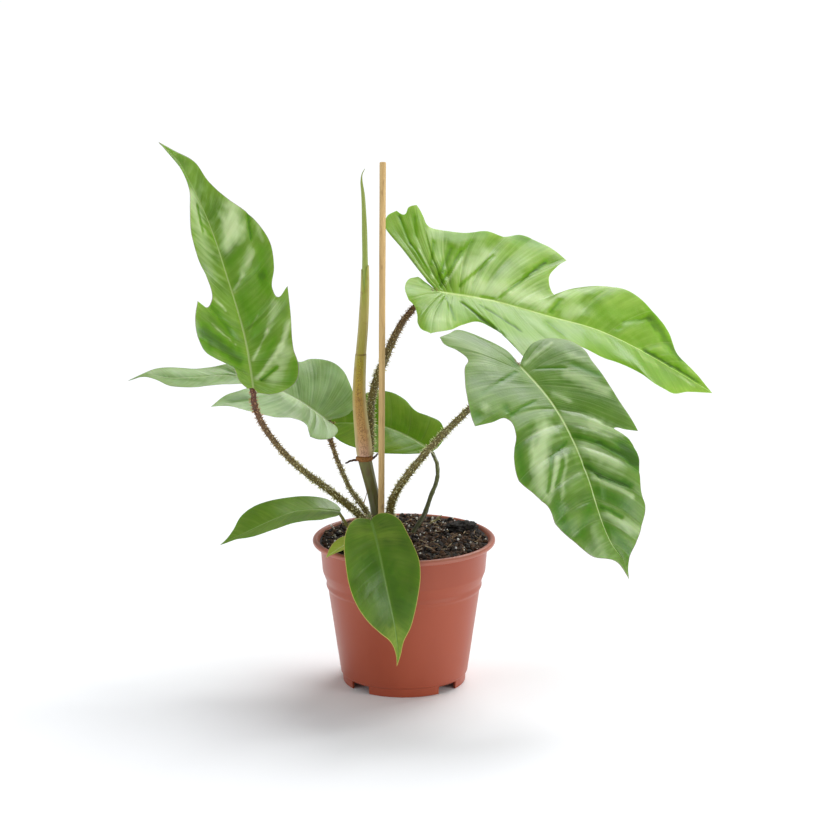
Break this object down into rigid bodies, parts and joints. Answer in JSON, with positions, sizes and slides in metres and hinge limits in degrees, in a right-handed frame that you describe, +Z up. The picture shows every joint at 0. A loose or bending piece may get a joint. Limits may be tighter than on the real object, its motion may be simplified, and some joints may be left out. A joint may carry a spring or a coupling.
{
  "type": "potted philodendron",
  "caption": "Young climbing philodendron with lobed leaves on bristly stalks, in a round terracotta-coloured nursery pot with soil and an upright wooden support stake.",
  "frame": {"origin": "middle of the flat underside of the pot, on the surface the pot stands on", "axes": "+Z up along the pot's axis; +X to the right and -Y towards the viewer of the picture, the side over whose rim the pointed front leaf hangs"},
  "size_m": [0.5563, 0.2924, 0.5022],
  "materials": {
    "pot": "satin",
    "soil": "matte",
    "bark": "matte",
    "stake": "matte",
    "stem": "satin",
    "stalk": "matte",
    "leaf": "satin",
    "young_leaf": "satin",
    "palest_leaf": "satin",
    "sheath": "matte",
    "root": "matte"
  },
  "bodies": {
    "root": {"pot": "pot", "potting_soil": "soil", "bark_piece": "bark", "stake": "stake", "stem_base": "stem", "stem_internode": "stem", "node_ring": "root", "cataphyll_sheath": "sheath", "rolled_new_leaf": "young_leaf", "aerial_root_left": "root", "aerial_root_right": "root", "dried_fibre": "sheath", "stalk_upper_left": "stalk", "leaf_upper_left": "leaf", "stalk_upper_right": "stalk", "leaf_upper_right": "young_leaf", "stalk_right": "stalk", "leaf_right": "leaf", "stalk_far_left": "stalk", "leaf_far_left": "leaf", "stalk_back": "stalk", "leaf_back": "leaf", "stalk_lower_left": "stalk", "leaf_lower_left": "leaf", "stalk_front": "stalk", "leaf_front": "leaf", "stalk_small": "stalk", "leaf_small": "palest_leaf"}
  },
  "joints": []
}
